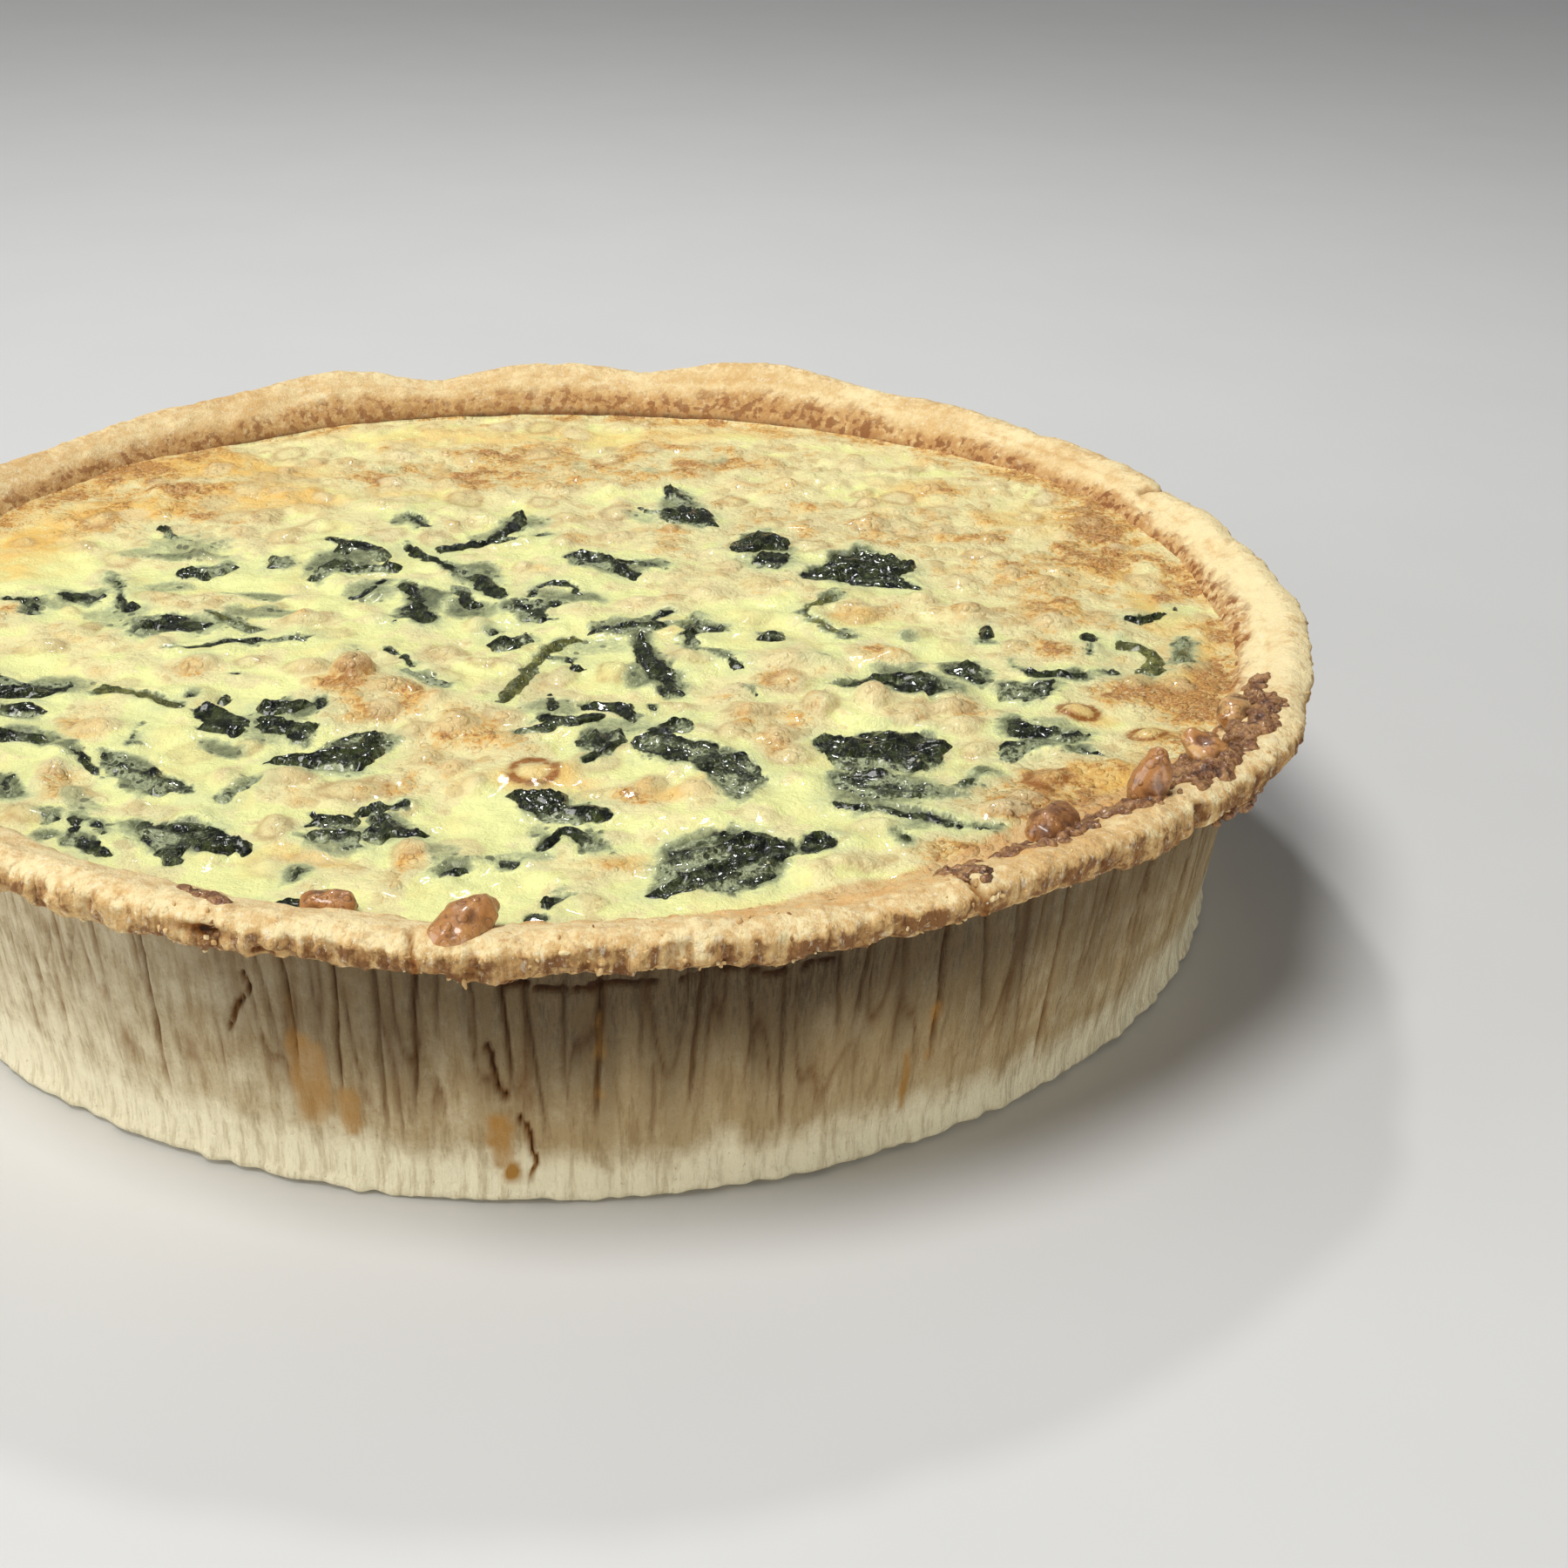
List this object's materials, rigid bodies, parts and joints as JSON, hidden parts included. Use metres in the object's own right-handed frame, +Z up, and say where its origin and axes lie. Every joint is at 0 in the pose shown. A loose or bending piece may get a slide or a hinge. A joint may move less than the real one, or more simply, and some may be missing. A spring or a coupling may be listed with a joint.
{
  "type": "spinach quiche",
  "caption": "Deep round quiche in a tall pleated pastry case with a rolled rim, baked custard with spinach leaves and pine nuts.",
  "frame": {"origin": "centre of the flat underside of the pastry case", "axes": "+Z up, +Y towards the back of the quiche, where the rim stands highest, +X to the right; the clean front side faces -Y"},
  "size_m": [0.266, 0.2673, 0.0586],
  "materials": {
    "pastry": "baked shortcrust pastry, matte and crumbly, browned on the rim",
    "custard": "baked egg custard, satin, pale lemon with golden brown skin",
    "spinach": "cooked spinach leaf, near-black green with wet glints",
    "stem": "cooked spinach stem, olive and semi-gloss"
  },
  "bodies": {
    "root": {"crust": "pastry", "custard": "custard", "spinach_leaf_01": "spinach", "spinach_leaf_02": "spinach", "spinach_leaf_03": "spinach", "spinach_leaf_04": "spinach", "spinach_leaf_05": "spinach", "spinach_leaf_06": "spinach", "spinach_leaf_07": "spinach", "spinach_leaf_08": "spinach", "spinach_leaf_09": "spinach", "spinach_leaf_10": "spinach", "spinach_leaf_11": "spinach", "spinach_leaf_12": "spinach", "spinach_leaf_13": "spinach", "spinach_leaf_14": "spinach", "spinach_leaf_15": "spinach", "spinach_leaf_16": "spinach", "spinach_leaf_17": "spinach", "spinach_leaf_18": "spinach", "spinach_leaf_19": "spinach", "spinach_leaf_20": "spinach", "spinach_leaf_21": "spinach", "spinach_leaf_22": "spinach", "spinach_leaf_23": "spinach", "spinach_leaf_24": "spinach", "spinach_leaf_25": "spinach", "spinach_leaf_26": "spinach", "spinach_leaf_27": "spinach", "spinach_leaf_28": "spinach", "spinach_leaf_29": "spinach", "spinach_leaf_30": "spinach", "spinach_leaf_31": "spinach", "spinach_leaf_32": "spinach", "spinach_leaf_33": "spinach", "spinach_leaf_34": "spinach", "spinach_leaf_35": "spinach", "spinach_leaf_36": "spinach", "spinach_leaf_37": "spinach", "spinach_leaf_38": "spinach", "spinach_leaf_39": "spinach", "spinach_leaf_40": "spinach", "spinach_leaf_41": "spinach", "spinach_leaf_42": "spinach", "spinach_leaf_43": "spinach", "spinach_leaf_44": "spinach", "spinach_leaf_45": "spinach", "spinach_leaf_46": "spinach", "spinach_leaf_47": "spinach", "spinach_leaf_48": "spinach", "spinach_leaf_49": "spinach", "spinach_leaf_50": "spinach", "spinach_leaf_51": "spinach", "spinach_stem_1": "stem", "spinach_stem_2": "stem", "spinach_stem_3": "stem", "spinach_stem_4": "stem", "spinach_stem_5": "stem", "spinach_stem_6": "stem"}
  },
  "joints": []
}
